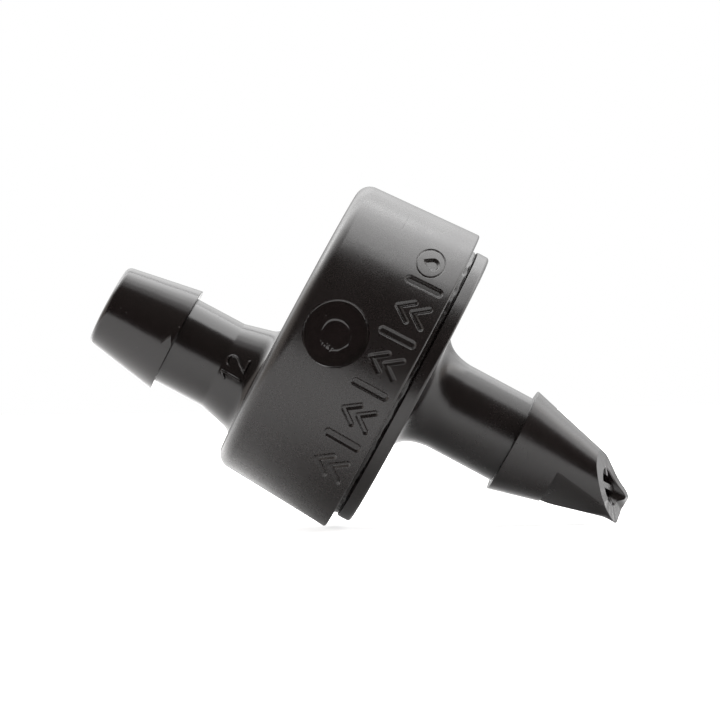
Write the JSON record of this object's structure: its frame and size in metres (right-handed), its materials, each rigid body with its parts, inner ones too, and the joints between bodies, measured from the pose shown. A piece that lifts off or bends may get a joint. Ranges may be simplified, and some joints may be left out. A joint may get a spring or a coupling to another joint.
{
  "type": "drip emitter",
  "caption": "Inline drip emitter: round cup with an off-centre outlet barb, closed by a flanged base with a slant-cut, self-piercing inlet barb.",
  "frame": {"origin": "centre of the base flange's outer face, on the inlet barb's axis", "axes": "+Z along the cup and the inlet barb, from the inlet to the outlet; the outlet barb stands off-centre towards -X"},
  "size_m": [0.016, 0.016, 0.0269],
  "materials": {
    "cover_plastic": "satin, fine moulded texture",
    "base_plastic": "semi-gloss, as moulded",
    "silicone": "soft matt silicone"
  },
  "bodies": {
    "housing": {"outlet_cover": "cover_plastic", "inlet_base": "base_plastic"},
    "diaphragm": {"diaphragm": "silicone"}
  },
  "joints": [
    {"name": "diaphragm_float", "type": "slide", "parent": "housing", "child": "diaphragm", "axis": [0, 0, 1], "range_m": [0, 0.00025]}
  ]
}
